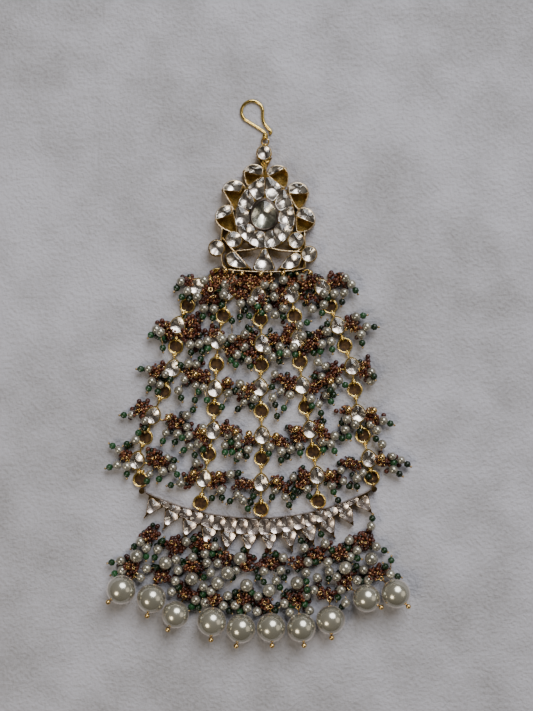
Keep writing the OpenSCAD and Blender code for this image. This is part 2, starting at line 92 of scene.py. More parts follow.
class Board:
    """The node board of one finish."""

    def __init__(self, name):
        self.material = bpy.data.materials.new(name)
        self.material.use_nodes = True
        self.tree = self.material.node_tree
        self.tree.nodes.clear()

    def node(self, kind, settings=None, inputs=None, out=0):
        """A node of that kind: its settings first, then the values or links of its sockets."""
        made = self.tree.nodes.new(kind)
        for name, value in (settings or {}).items():
            if name == "stops":
                self._stops(made.color_ramp, value)
            else:
                setattr(made, name, value)
        for name, value in (inputs or {}).items():
            if isinstance(value, Signal):
                self.tree.links.new(value.socket, made.inputs[name])
            else:
                made.inputs[name].default_value = value
        return Signal(self, made.outputs[out])

    def _stops(self, ramp, stops):
        while len(ramp.elements) < len(stops):
            ramp.elements.new(0.5)
        for element, (position, colour) in zip(ramp.elements, stops):
            element.position = position
            element.color = (*colour, 1)

    def noise(self, scale, detail):
        """Cloudy noise; scale is in patches to a metre."""
        where = self.node("ShaderNodeNewGeometry")
        return self.node("ShaderNodeTexNoise", {}, {"Vector": where, "Scale": scale, "Detail": detail})

    def mark(self, name):
        """A value that was stored on the mesh's points."""
        return self.node("ShaderNodeAttribute", {"attribute_name": name}, {}, 2)

    def ramp(self, factor, *stops):
        return self.node("ShaderNodeValToRGB", {"stops": stops}, {0: factor})

    def mask(self, value, low, high, top=1.0):
        """A grey that rises from nothing at low to top at high."""
        return self.ramp(value, (low, (0, 0, 0)), (high, (top, top, top)))

    def mix(self, factor, first, second):
        colours = {0: factor, 6: first, 7: second}
        return self.node("ShaderNodeMix", {"data_type": "RGBA"}, colours, 2)

    def layer_facing(self, blend):
        """How far a surface turns away from the eye."""
        return self.node("ShaderNodeLayerWeight", {}, {"Blend": blend}, 1)

    def bump(self, height):
        """Dents and ridges of that height, in metres."""
        return self.node("ShaderNodeBump", {}, {"Height": height, "Strength": 1.0, "Distance": 1.0})

    def finish(self, **sockets):
        """The material with these values and links on its shader's sockets."""
        inputs = {}
        for name, value in sockets.items():
            inputs[name.replace("_", " ").title().replace("Ior", "IOR")] = value
        shader = self.node("ShaderNodeBsdfPrincipled", {}, inputs)
        out = self.tree.nodes.new("ShaderNodeOutputMaterial")
        self.tree.links.new(shader.socket, out.inputs["Surface"])
        return self.material


def rgba(red, green, blue):
    return (red, green, blue, 1)


# Finishes


# Heights of bumps in metres
SCRATCH = 0.00001
PEARL_SKIN = 0.00002
LARGE_PEARL_SKIN = 0.00004
FOIL_CRUMPLE = 0.00003
RED_DENT = 0.00006
GREEN_DENT = 0.00005
OLD_METAL_DENT = 0.0001
CLOTH_PILE = 0.0006


def antique_gold(name, bright, dull, polish=0.1, dent=0.00004, patch=1100):
    """Warm plated gold, rubbed bright and browner in patches.

    dent is the height of its dents in metres, and patch is in patches to a metre.
    """
    board = Board(name)
    worn = board.ramp(board.noise(patch, 3), (0.34, dull), (0.6, bright))
    roughness = polish + 0.2 * board.noise(1500, 2)
    dents = board.bump(board.noise(900, 2) * dent + board.noise(5200, 2) * SCRATCH)
    return board.finish(base_color=worn, metallic=1.0, roughness=roughness, normal=dents)


def foiled_stone(name, tint, shade, roughness=0.2):
    """An uncut stone over silver foil: the folded foil below it shows through the polished top.

    tint is the foil's colour where it is clear, shade where it is clouded.
    """
    board = Board(name)
    clear = board.mix(board.mask(board.noise(700, 2), 0.43, 0.63), rgba(*shade), rgba(*tint))
    # Along the foil's creases the colour is painted near black: painted shade in the folds.
    crease_shade = board.ramp(board.mark("crease"), (0.0, (1, 1, 1)), (1.0, (0, 0, 0)))
    colour = board.mix(crease_shade, clear, rgba(0.13, 0.10, 0.085))
    foil = board.bump(board.mark("foil") + board.noise(420, 1) * FOIL_CRUMPLE)
    return board.finish(
        base_color=colour, metallic=0.94, roughness=roughness, normal=foil, coat_weight=0.8,
        coat_roughness=0.06, coat_ior=1.6)


def ruby_seed():
    """Small dark red beads with coppery ones among them."""
    board = Board("ruby_seed")
    tone = board.mark("tone")
    dark = (0.0, (0.028, 0.005, 0.003))
    red = (0.45, (0.11, 0.026, 0.012))
    brown = (0.75, (0.23, 0.085, 0.037))
    copper = (1.0, (0.40, 0.22, 0.11))
    colour = board.ramp(tone, dark, red, brown, copper)
    dents = board.bump(board.noise(2600, 2) * RED_DENT)
    return board.finish(
        base_color=colour, metallic=board.mask(tone, 0.5, 0.8, 0.8), roughness=0.27, normal=dents,
        specular_ior_level=0.35, coat_weight=0.25, coat_roughness=0.05)


def small_pearl_finish():
    """Grey-cream lustre, with a painted reflection: paler where the pearl turns away from the eye."""
    board = Board("seed_pearl")
    body = board.ramp(board.mark("tone"), (0.0, (0.24, 0.23, 0.185)), (1.0, (0.40, 0.385, 0.32)))
    # Painted reflection: the colour turns paler towards the pearl's edge as seen from the eye.
    colour = board.mix(board.layer_facing(0.3), body, rgba(0.50, 0.46, 0.40))
    skin = board.bump(board.noise(1300, 2) * PEARL_SKIN)
    return board.finish(
        base_color=colour, metallic=0.6, roughness=0.2, normal=skin, coat_weight=1.0,
        coat_roughness=0.12, coat_ior=1.7)


def large_pearl_finish():
    """The same lustre, with a painted dark band near the edge and a painted pale edge: reflections of the
    dim room and of the pale cloth, painted into the colour.
    """
    board = Board("large_pearl")
    edge = board.layer_facing(0.5)
    body = board.ramp(board.noise(160, 2), (0.35, (0.40, 0.39, 0.32)), (0.65, (0.50, 0.485, 0.405)))
    # Painted reflections: a darker band towards the edge as seen from the eye, then a pale rim.
    with_painted_dark_band = board.mix(board.mask(edge, 0.25, 0.6, 0.75), body, rgba(0.22, 0.205, 0.155))
    colour = board.mix(board.mask(edge, 0.5, 0.74), with_painted_dark_band, rgba(0.98, 0.88, 0.77))
    skin = board.bump(board.noise(500, 2) * LARGE_PEARL_SKIN)
    return board.finish(
        base_color=colour, metallic=0.7, roughness=0.22, normal=skin, coat_weight=1.0,
        coat_roughness=0.11, coat_ior=1.6)


def green_glass():
    """Near black to deep green glass, cut with a few flats."""
    board = Board("green_glass")
    black = (0.0, (0.003, 0.008, 0.003))
    dark = (0.6, (0.007, 0.028, 0.008))
    green = (1.0, (0.018, 0.078, 0.026))
    colour = board.ramp(board.mark("tone"), black, dark, green)
    dents = board.bump(board.noise(2200, 2) * GREEN_DENT)
    return board.finish(base_color=colour, roughness=0.2, normal=dents, specular_ior_level=0.32)


def painted_ring_shadow():
    """Painted shadow: the dark olive-brown shade inside each ring of the chains, given as the colour of a
    disc laid there.
    """
    board = Board("painted_ring_shadow")
    colour = board.ramp(board.noise(1100, 3), (0.35, (0.024, 0.010, 0.004)), (0.65, (0.095, 0.048, 0.015)))
    dents = board.bump(board.noise(1800, 3) * OLD_METAL_DENT)
    return board.finish(base_color=colour, roughness=0.5, normal=dents, specular_ior_level=0.2)


def pale_cloth():
    """The pale napped surface that the headpiece lies on."""
    board = Board("pale_cloth")
    nap = board.noise(60, 6)
    fine = board.noise(900, 4)
    lay = board.noise(13, 3)
    clouds = nap * 0.5 + lay * 0.5
    brushed = board.ramp(clouds, (0.41, (0.32, 0.32, 0.345)), (0.59, (0.48, 0.485, 0.55)))
    colour = board.mix(board.mask(fine, 0.3, 0.7, 0.3), brushed, rgba(0.60, 0.60, 0.68))
    pile = board.bump(fine * CLOTH_PILE + board.noise(140, 4) * CLOTH_PILE)
    return board.finish(
        base_color=colour, roughness=0.9, normal=pile, sheen_weight=0.15, sheen_roughness=0.5)


HOOK_RING_GOLD = antique_gold("hook_ring_gold", (0.83, 0.58, 0.20), (0.40, 0.235, 0.05))
# The crown's gold is its antique tone darkened further: painted shade for its deep cups and walls.
SHADED_CROWN_GOLD = antique_gold("shaded_crown_gold", (0.60, 0.39, 0.11), (0.32, 0.18, 0.038), 0.16, 0.00003, 600)
HOOK_GOLD = antique_gold("hook_gold", (0.80, 0.60, 0.19), (0.42, 0.28, 0.06), 0.08, 0.00001)
WIRE_GOLD = antique_gold("wire_gold", (0.85, 0.62, 0.27), (0.50, 0.30, 0.08))
FIELD_RIM = antique_gold("field_rim", (0.34, 0.27, 0.24), (0.12, 0.09, 0.08), 0.2, 0.00002)
HEART_RIM = antique_gold("heart_rim", (0.12, 0.095, 0.08), (0.05, 0.04, 0.03), 0.25, 0.00002)
BAR_GOLD = antique_gold("bar_gold", (0.42, 0.28, 0.12), (0.15, 0.09, 0.045))
SPIKE_RIM = antique_gold("spike_rim", (0.72, 0.55, 0.36), (0.30, 0.20, 0.12), 0.2, 0.00002)
RIM_GOLD = antique_gold("rim_gold", (0.90, 0.74, 0.50), (0.45, 0.32, 0.18), 0.2, 0.00002)
LINK_GOLD = antique_gold("link_gold", (0.93, 0.71, 0.26), (0.66, 0.45, 0.11), 0.14, 0.00002, 600)
PIN_GOLD = antique_gold("pin_gold", (0.56, 0.40, 0.20), (0.24, 0.15, 0.07), 0.2)
PAINTED_RING_SHADOW = painted_ring_shadow()
STONE = foiled_stone("foiled_stone", (0.96, 0.90, 0.83), (0.40, 0.36, 0.32))
MOON_STONE = foiled_stone("moon_stone", (0.99, 0.94, 0.88), (0.50, 0.46, 0.41))
HEART_STONE = foiled_stone("heart_stone", (0.86, 0.87, 0.78), (0.36, 0.37, 0.30))
ROSY_STONE = foiled_stone("rosy_stone", (0.95, 0.86, 0.83), (0.52, 0.44, 0.41), 0.26)
RUBY = ruby_seed()
SEED_PEARL = small_pearl_finish()
LARGE_PEARL = large_pearl_finish()
GREEN = green_glass()

# The finishes of the bead bunches, and their places in that list
BEAD_FINISHES = [RUBY, SEED_PEARL, GREEN, WIRE_GOLD, PIN_GOLD]
RED, PALE, LEAF, WIRE, PIN = range(len(BEAD_FINISHES))


# Mesh making


class Work:
    """Collects many small forms into one mesh. Points are in millimetres."""

    def __init__(self):
        self.points = []
        self.faces = []
        self.finish_of_face = []
        self.marks = {}
        self.count = 0

    def add(self, points, faces, finish=0, **marks):
        """Adds one form; finish is its place in the piece's list, marks are values for its points."""
        points = np.asarray(points, float)
        self.points.append(points)
        self.faces.extend([tuple(i + self.count for i in face) for face in faces])
        self.finish_of_face.extend([finish] * len(faces))
        for name, value in marks.items():
            values = np.broadcast_to(np.asarray(value, float), (len(points),))
            self.marks.setdefault(name, []).append((self.count, values))
        self.count += len(points)

    def piece(self, name, finishes, slot, *replaced):
        """Makes the object, which takes the place of the CAD nodes named last."""
        mesh = bpy.data.meshes.new(name)
        points = np.concatenate(self.points) * MM
        mesh.from_pydata(points.tolist(), [], self.faces)
        for finish in finishes:
            mesh.materials.append(finish)
        mesh.polygons.foreach_set("material_index", self.finish_of_face)
        smooth = [finishes[i] is not GREEN for i in self.finish_of_face]
        mesh.polygons.foreach_set("use_smooth", smooth)
        for mark, parts in self.marks.items():
            values = np.zeros(self.count, np.float32)
            for start, part in parts:
                values[start:start + len(part)] = part
            mesh.attributes.new(mark, "FLOAT", "POINT").data.foreach_set("value", values)
        mesh.update()
        made = bpy.data.objects.new(name, mesh)
        bpy.context.scene.collection.objects.link(made)
        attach(made, "root")
        if replaced:
            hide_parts(*replaced)


def bead_form(sides, rows):
    """A unit ball of quads with triangles at its two ends, as points and faces."""
    points = [(0, 0, 1)]
    for row in range(1, rows):
        tilt = math.pi * row / rows
        for side in range(sides):
            turn = 2 * math.pi * side / sides
            points.append((math.sin(tilt) * math.cos(turn), math.sin(tilt) * math.sin(turn), math.cos(tilt)))
    points.append((0, 0, -1))
    last = len(points) - 1
    faces = [(0, 1 + s, 1 + (s + 1) % sides) for s in range(sides)]
    for row in range(rows - 2):
        a = 1 + row * sides
        b = a + sides
        faces += [(a + s, b + s, b + (s + 1) % sides, a + (s + 1) % sides) for s in range(sides)]
    a = 1 + (rows - 2) * sides
    faces += [(a + s, last, a + (s + 1) % sides) for s in range(sides)]
    return np.array(points, float), faces


PEARL_FORM = bead_form(20, 12)
SEED_FORM = bead_form(9, 6)
DOT_FORM = bead_form(8, 6)
# Few sides, so that its flats show
GREEN_FORM = bead_form(7, 5)


def frame_along(direction):
    """Two unit vectors square to a direction."""
    ahead = Vector(direction).normalized()
    side = ahead.orthogonal().normalized()
    return np.array(side), np.array(ahead.cross(side))


def add_bead(work, form, centre, radius, finish=0, tone=0.5, flat=1.0, axis=None):
    """A ball, or a flattened bead when flat is below 1, around its axis."""
    points = form[0].copy()
    points[:, 2] *= flat
    if axis is not None:
        u, v = frame_along(axis)
        w = np.array(Vector(axis).normalized())
        points = points[:, :1] * u + points[:, 1:2] * v + points[:, 2:3] * w
    work.add(points * radius + np.asarray(centre, float), form[1], finish, tone=tone)


def add_tube(work, path, radius, finish=0, sides=6, closed=False):
    """A round wire along a run of points."""
    path = [np.asarray(p, float) for p in path]
    n = len(path)
    points = []
    up = None
    for i, p in enumerate(path):
        before = path[i - 1] if i > 0 or closed else p
        after = path[(i + 1) % n] if i < n - 1 or closed else p
        ahead = Vector(after - before)
        if ahead.length < 1e-9:
            ahead = Vector((0, 0, 1))
        ahead.normalize()
        if up is None:
            up = ahead.orthogonal().normalized()
        side = ahead.cross(up)
        if side.length < 1e-6:
            side = ahead.orthogonal()
        side.normalize()
        up = side.cross(ahead).normalized()
        for s in range(sides):
            turn = 2 * math.pi * s / sides
            points.append(p + radius * (math.cos(turn) * np.array(side) + math.sin(turn) * np.array(up)))
    faces = []
    for i in range(n if closed else n - 1):
        a = i * sides
        b = ((i + 1) % n) * sides
        faces += [(a + s, a + (s + 1) % sides, b + (s + 1) % sides, b + s) for s in range(sides)]
    if not closed:
        faces.append(tuple(range(sides - 1, -1, -1)))
        faces.append(tuple((n - 1) * sides + s for s in range(sides)))
    work.add(points, faces, finish)


def circle_path(centre, radius, axis, steps=14):
    """Evenly spaced points round an axis."""
    u, v = frame_along(axis)
    turns = [2 * math.pi * i / steps for i in range(steps)]
    return [np.asarray(centre, float) + radius * (math.cos(t) * u + math.sin(t) * v) for t in turns]


# Stones. Their outlines are read from the CAD stones


def loose_parts(mesh):
    """Point numbers of each separate body of a mesh."""
    parent = list(range(len(mesh.vertices)))
    spots = {}

    def root(i):
        while parent[i] != i:
            parent[i] = parent[parent[i]]
            i = parent[i]
        return i

    for v in mesh.vertices:
        key = tuple(round(c, 7) for c in v.co)
        if key in spots:
            parent[root(v.index)] = root(spots[key])
        else:
            spots[key] = v.index
    for edge in mesh.edges:
        parent[root(edge.vertices[0])] = root(edge.vertices[1])
    groups = {}
    for v in mesh.vertices:
        groups.setdefault(root(v.index), []).append(v.index)
    return list(groups.values())


def stone_seats(node):
    """Outline, centre and top of each stone of a node, in millimetres."""
    mesh = NODES[node].data
    seats = []
    for part in loose_parts(mesh):
        points = np.array([mesh.vertices[i].co for i in part]) / MM
        floor = points[:, 2].min()
        outline = np.array(sorted({tuple(np.round(p[:2], 4)) for p in points if p[2] < floor + 0.01}))
        centre = (outline.min(0) + outline.max(0)) / 2
        turn = np.arctan2(outline[:, 1] - centre[1], outline[:, 0] - centre[0])
        seats.append((outline[np.argsort(turn)], centre, points[:, 2].max()))
    return sorted(seats, key=lambda seat: (round(seat[1][1], 2), round(seat[1][0], 2)))


def rounded_outline(outline, grow, sides, soften):
    """The outline grown outwards, its corners softened, as evenly spaced points."""
    n = len(outline)
    corners = []
    for i in range(n):
        here, before, after = outline[i], outline[i - 1], outline[(i + 1) % n]
        corners += [here + (before - here) * soften, here, here + (after - here) * soften]
    dense = []
    for i in range(0, len(corners), 3):
        a, b, c = corners[i:i + 3]
        for t in (0, 0.25, 0.5, 0.75, 1):
            dense.append((1 - t) ** 2 * a + 2 * t * (1 - t) * b + t * t * c)
    dense = np.array(dense)
    ahead = np.roll(dense, -1, 0) - np.roll(dense, 1, 0)
    outward = np.stack([ahead[:, 1], -ahead[:, 0]], 1)
    dense = dense + grow * outward / np.maximum(np.linalg.norm(outward, axis=1, keepdims=True), 1e-9)
    steps = np.linalg.norm(np.roll(dense, -1, 0) - dense, axis=1)
    along = np.concatenate([[0], np.cumsum(steps)])
    closed = np.vstack([dense, dense[:1]])
    wanted = np.linspace(0, along[-1], sides, endpoint=False)
    return np.stack([np.interp(wanted, along, closed[:, axis]) for axis in (0, 1)], 1)


STONE_SIDES = 44
STONE_PLANES = 7
FOIL_FOLDS = 7
# Rows of points from a stone's edge to its middle, as shares of its outline
STONE_ROWS = (
    1.0, 0.99, 0.96, 0.92, 0.87, 0.82, 0.76, 0.7, 0.64, 0.58, 0.52, 0.45, 0.38, 0.31, 0.24, 0.16, 0.08)
# The wall's top is this far below the top of the CAD stone, and the stone's foot below the wall's top
WALL_DROP = 0.12
STONE_FOOT = 0.5
# The lip's middle lies above the wall's top, and wavers by hand
LIP_LIFT = 0.02
LIP_WAVE = 0.03
# The dome is cut flat at this share of its height
DOME_CUT = 0.93
# A crease, where the stone's colour is painted dark as shade in the fold, is as wide as the stretch where
# two folds of the foil differ by less than this in height
CREASE_STEP = 0.03
# How much of each side is taken by the rounding of its corners
SOFT_CORNER = 0.22
SHARP_CORNER = 0.06


def add_stone(work, seat, grow, bulge, bowl, soften, rng):
    """An uncut stone: a low dome with a few soft planes on it. The foil below it is stored as a mark.

    The foil is a shallow bowl of folds, so it shines on the side away from the light. The mark is its
    height less the height of the stone's top.
    """
    outline, centre, high = seat
    edge = rounded_outline(outline, grow, STONE_SIDES, soften)
    reach = np.linalg.norm(edge - centre, axis=1).mean()
    wall_top = high - WALL_DROP
    # Each plane's direction, distance from the middle and steepness
    planes = []
    for k in range(STONE_PLANES):
        turn = 2 * math.pi * (k + rng.uniform(-0.35, 0.35)) / STONE_PLANES
        planes.append((turn, rng.uniform(1.0, 1.2), rng.uniform(1.0, 1.6)))
    # Each fold's direction, slope and drop
    folds = []
    for k in range(FOIL_FOLDS):
        turn = 2 * math.pi * (k + rng.uniform(-0.4, 0.4)) / FOIL_FOLDS
        folds.append((math.cos(turn), math.sin(turn), rng.uniform(0.0, 0.12), rng.uniform(-0.02, 0.04)))
    points = []
    foil = []
    creases = []

    def height(turn, share):
        dome = math.sqrt(max(0.0, 1 - (share * 0.97) ** 2))
        flat = min(steep * (far - share * math.cos(turn - lean)) for lean, far, steep in planes)
        return bulge * max(0, min(dome, flat, DOME_CUT))

    def foil_at(x, y):
        """Height of the foil, and a value that is 0 on a crease and 1 away from it."""
        dish = bowl * (x * x + y * y) / reach
        second, first = sorted(slope * (x * c + y * d) - drop * reach for c, d, slope, drop in folds)[-2:]
        return dish + first, min(1, (first - second) / CREASE_STEP)

    for share in STONE_ROWS:
        for corner in edge:
            x, y = (corner - centre) * share
            z = height(math.atan2(y, x), share) if share < 1 else -STONE_FOOT
            points.append((centre[0] + x, centre[1] + y, wall_top + z))
            depth, crease = foil_at(x, y)
            foil.append((depth - max(z, 0)) * MM)
            creases.append(crease)
    top = height(0, 0)
    points.append((centre[0], centre[1], wall_top + top))
    depth, crease = foil_at(0, 0)
    foil.append((depth - top) * MM)
    creases.append(crease)
    n = STONE_SIDES
    faces = []
    for row in range(len(STONE_ROWS) - 1):
        a = row * n
        faces += [(a + i, a + (i + 1) % n, a + n + (i + 1) % n, a + n + i) for i in range(n)]
    a = (len(STONE_ROWS) - 1) * n
    faces += [(a + i, a + (i + 1) % n, len(points) - 1) for i in range(n)]
    faces.append(tuple(range(n - 1, -1, -1)))
    work.add(points, faces, 0, foil=foil, crease=creases)
    return edge, wall_top


def set_stones(name, nodes, grow, bulge, bowl, lip, rim=RIM_GOLD, finish=STONE, soften=SOFT_CORNER):
    """Stones in place of CAD stones, and the gold lip pressed over their edges.

    grow is how far the outline grows, bulge the dome's height and lip the lip's radius, in
    millimetres. bowl is the foil's depth as a share of the stone's mean radius.
    """
    rng = random.Random(name)
    stones = Work()
    lips = Work()
    for node in nodes:
        for seat in stone_seats(node):
            edge, wall_top = add_stone(stones, seat, grow, bulge, bowl, soften, rng)
            path = [(*point, wall_top + LIP_LIFT + rng.uniform(-LIP_WAVE, LIP_WAVE)) for point in edge]
            add_tube(lips, path, lip, closed=True)
    stones.piece(name, [finish], "stone", *nodes)
    lips.piece(name + "_lips", [rim], "gold")


def all_stones():
    """Every stone; the crown's single ones are nodes of their own."""
    single = sorted(node for node in NODES if node.endswith("_stone") and node != "crown_pear_stone")
    moons = [node for node in single if node.startswith("moon")]
    others = [node for node in single if not node.startswith("moon")]
    set_stones(
        "crown_moon_settings", moons, grow=0.22, bulge=0.75, bowl=0.33, lip=0.09, finish=MOON_STONE)
    set_stones("crown_small_settings", others, grow=0.22, bulge=0.75, bowl=0.42, lip=0.09)
    set_stones(
        "crown_field_settings", ["crown_field_stones"], grow=0.32, bulge=0.8, bowl=0.46, lip=0.07,
        rim=FIELD_RIM)
    set_stones(
        "crown_pear_setting", ["crown_pear_stone"], grow=0.0, bulge=1.2, bowl=0.5, lip=0.45,
        rim=HEART_RIM, finish=HEART_STONE)
    for k in CHAINS:
        set_stones(
            f"strand_{k}_settings", [f"strand_{k}_stones"], grow=0.2, bulge=0.95, bowl=0.3, lip=0.11)
    set_stones(
        "bar_settings", ["bar_stones"], grow=0.3, bulge=0.55, bowl=0.2, lip=0.06, rim=FIELD_RIM,
        finish=ROSY_STONE)
    set_stones(
        "spike_settings", ["spike_stones"], grow=0.36, bulge=0.6, bowl=0.22, lip=0.08, rim=SPIKE_RIM,
        finish=ROSY_STONE, soften=SHARP_CORNER)


# Bead bunches. Each table lists what is seen from above, row by row from the crown down, as spots
# on the photograph
RUBY_SPOTS = [
    # below the crown
    (220, 279), (229, 279), (238, 282), (248, 278), (257, 281), (269, 279), (288, 282), (299, 281),
    (315, 281),
    # first row
    (189, 282), (208, 290), (211, 299), (235, 290), (243, 295), (250, 285), (281, 292), (284, 300),
    (306, 285), (310, 298), (333, 283), (340, 278), (216, 284), (262, 300),
    # second row
    (165, 326), (170, 332), (185, 333), (193, 334), (214, 333), (230, 350), (240, 341), (249, 338),
    (273, 339), (286, 338), (306, 345), (313, 343), (319, 335), (350, 325), (355, 327), (290, 328),
    (192, 322),
    # third row
    (158, 368), (155, 375), (190, 373), (199, 374), (205, 378), (227, 383), (250, 388), (244, 394),
    (283, 379), (290, 384), (314, 388), (319, 383), (336, 370), (330, 377), (364, 366), (362, 373),
    (251, 354),
    # fourth row
    (143, 407), (140, 413), (171, 419), (178, 424), (198, 433), (203, 439), (225, 428), (233, 430),
    (247, 440), (276, 440), (283, 443), (296, 431), (299, 439), (320, 429), (326, 436), (346, 410),
    (371, 412), (372, 418),
    # fifth row
    (125, 455), (153, 457), (157, 464), (163, 461), (190, 479), (195, 474), (218, 477), (214, 484),
    (240, 484), (248, 484), (276, 480), (281, 487), (304, 476), (301, 483), (330, 473), (334, 478),
    (348, 462), (355, 466), (380, 460), (386, 463),
]
PEARL_SPOTS = [
    # first row
    (183, 282), (188, 291), (197, 297), (204, 281), (204, 309), (214, 309), (226, 283), (224, 295),
    (241, 304), (252, 301), (264, 283), (275, 288), (274, 297), (267, 308), (275, 315), (284, 280),
    (294, 287), (284, 307), (301, 279), (312, 309), (324, 304), (324, 294), (344, 279), (351, 284),
    (344, 293), (334, 294), (233, 281),
    # second row
    (161, 332), (157, 330), (191, 345), (199, 344), (208, 341), (222, 339), (232, 339), (246, 334),
    (244, 347), (237, 354), (248, 360), (280, 347), (267, 350), (273, 357), (294, 347), (286, 353),
    (300, 325), (302, 336), (320, 344), (326, 331), (331, 342), (357, 317), (361, 334), (367, 327),
    (318, 362), (325, 366),
    # third row
    (149, 369), (166, 374), (152, 381), (160, 385), (189, 364), (196, 364), (185, 379), (196, 386),
    (203, 388), (240, 384), (242, 392), (229, 393), (244, 402), (254, 399), (275, 374), (281, 391),
    (290, 395), (273, 398), (322, 378), (332, 387), (326, 395), (311, 399), (319, 404), (339, 380),
    (371, 381), (179, 391), (369, 372),
    # fourth row
    (133, 414), (145, 421), (187, 415), (187, 427), (166, 433), (178, 434), (190, 435), (203, 428),
    (199, 443), (191, 446), (196, 462), (230, 434), (236, 438), (238, 444), (225, 446), (248, 449),
    (239, 455), (271, 446), (282, 451), (290, 449), (299, 446), (324, 441), (331, 444), (334, 436),
    (346, 419), (345, 429), (371, 423), (384, 421), (377, 430), (382, 444), (136, 439), (355, 424),
    # fifth row
    (119, 450), (117, 465), (127, 467), (167, 459), (173, 467), (163, 471), (150, 474), (181, 483),
    (231, 474), (221, 490), (238, 495), (243, 500), (275, 490), (285, 497), (293, 477), (307, 489),
    (343, 481), (341, 470), (363, 473), (357, 478), (392, 457), (401, 460), (394, 469), (332, 485),
]
GREEN_SPOTS = [
    # first row
    (177, 288), (190, 298), (182, 297), (203, 316), (213, 318), (245, 310), (240, 317), (232, 321),
    (268, 301), (258, 306), (263, 312), (283, 317), (283, 274), (290, 275), (297, 273), (327, 298),
    (322, 313), (355, 290), (342, 302), (222, 305), (218, 286), (249, 316),
    # second row
    (152, 334), (162, 338), (191, 352), (203, 351), (200, 360), (207, 348), (227, 344), (232, 361),
    (245, 354), (249, 331), (250, 366), (280, 353), (295, 354), (279, 361), (306, 323), (308, 334),
    (314, 353), (320, 351), (332, 349), (327, 325), (373, 327), (362, 343), (361, 316), (163, 348),
    (235, 364),
    # third row
    (141, 369), (149, 388), (158, 391), (170, 379), (181, 365), (181, 397), (195, 400), (199, 390),
    (236, 391), (238, 409), (222, 407), (252, 406), (272, 387), (275, 404), (284, 408), (277, 416),
    (315, 377), (312, 405), (321, 413), (333, 395), (331, 401), (330, 390), (373, 376), (207, 400),
    (345, 385),
    # fourth row
    (124, 415), (145, 427), (138, 434), (193, 410), (182, 437), (175, 442), (163, 441), (184, 450),
    (195, 456), (203, 449), (231, 440), (225, 451), (232, 452), (237, 459), (247, 455), (240, 450),
    (269, 452), (287, 456), (281, 460), (300, 452), (323, 449), (334, 450), (343, 423), (342, 438),
    (348, 436), (389, 423), (376, 439), (360, 431),
    # fifth row
    (113, 446), (110, 467), (127, 473), (173, 461), (177, 474), (159, 479), (147, 481), (171, 485),
    (238, 473), (222, 497), (230, 501), (212, 498), (253, 497), (250, 502), (248, 508), (272, 497),
    (294, 490), (293, 497), (289, 505), (309, 496), (333, 490), (338, 500), (349, 486), (357, 486),
    (368, 476), (393, 463), (407, 464), (398, 473), (127, 444),
]
# Fringe: bead clusters, four-millimetre pearls, small pearls and green beads
FRINGE_RUBY_SPOTS = [
    (150, 535), (173, 545), (204, 544), (226, 557), (247, 566), (270, 563), (295, 562), (316, 553),
    (340, 553), (362, 540), (131, 568), (161, 577), (192, 566), (346, 580), (375, 574), (187, 593),
    (214, 599), (243, 598), (267, 603), (296, 598), (323, 593),
]
MIDDLE_PEARL_SPOTS = [
    (137, 555), (166, 562), (192, 578), (218, 582), (229, 571), (247, 585), (269, 589), (297, 582),
    (345, 567), (371, 558), (241, 558),
]
FRINGE_PEARL_SPOTS = [
    (146, 547), (141, 542), (158, 549), (121, 560), (123, 570), (147, 568), (141, 577), (176, 559),
    (179, 569), (176, 581), (172, 591), (187, 541), (193, 557), (206, 553), (207, 562), (211, 572),
    (204, 587), (211, 591), (219, 562), (235, 570), (205, 602), (223, 605), (228, 595), (236, 604),
    (214, 546), (264, 570), (283, 557), (281, 570), (276, 580), (304, 547), (309, 561), (306, 572),
    (317, 577), (314, 590), (305, 595), (285, 603), (257, 595), (257, 611), (325, 543), (328, 562),
    (247, 607), (309, 610), (290, 611), (349, 540), (357, 550), (350, 556), (329, 571), (337, 577),
    (363, 569), (376, 546), (391, 574), (357, 579), (341, 589), (345, 602), (367, 580), (371, 525),
    (196, 600),
]
FRINGE_GREEN_SPOTS = [
    (112, 562), (116, 573), (135, 546), (146, 556), (155, 557), (163, 541), (157, 567), (184, 566),
    (178, 586), (193, 539), (195, 550), (211, 553), (222, 554), (204, 577), (233, 577), (235, 592),
    (203, 593), (192, 606), (199, 606), (229, 610), (243, 551), (258, 577), (264, 582), (276, 554),
    (284, 577), (280, 587), (252, 593), (306, 581), (307, 589), (314, 561), (301, 541), (291, 605),
    (329, 577), (305, 604), (372, 519), (333, 550), (347, 548), (356, 557), (357, 566), (384, 550),
    (391, 560), (385, 566), (338, 597), (342, 606), (396, 577), (362, 580), (321, 534), (240, 614),
    (275, 610),
]
# Gold balls beside the collets of the chains
SIDE_BALL_SPOTS = [
    (276, 435), (321, 426), (296, 428), (348, 409), (373, 410), (329, 472), (276, 480), (381, 456),
    (194, 472), (219, 473), (249, 433), (169, 417), (236, 431), (204, 431), (330, 381), (244, 388),
    (196, 374), (228, 381),
]
# Beads: radii and heights in millimetres, and how flat some are
SIDE_BALL_R = 1.05
SIDE_BALL_HEIGHT = 5.2
PEARL_R = 1.48
SMALLER_PEARL_R = 1.28
MIDDLE_PEARL_R = 2.1
GREEN_R = 1.14
GREEN_FLAT = 0.92
DOT_R = 0.4
SEED_R = 0.51
SEED_FLAT = 0.72
COLLET_R = 2.7
COLLET_HEIGHT = 0.4
# Kind, radius, lowest and highest start, and the spots
BEAD_TABLES = (
    ("pearl", PEARL_R, 2.6, 3.6, PEARL_SPOTS),
    ("green", GREEN_R, 2.4, 3.4, GREEN_SPOTS),
    ("pearl", PEARL_R, 3.4, 4.4, FRINGE_PEARL_SPOTS),
    ("middle", MIDDLE_PEARL_R, 3.6, 4.4, MIDDLE_PEARL_SPOTS),
    ("green", GREEN_R, 3.2, 4.2, FRINGE_GREEN_SPOTS),
)
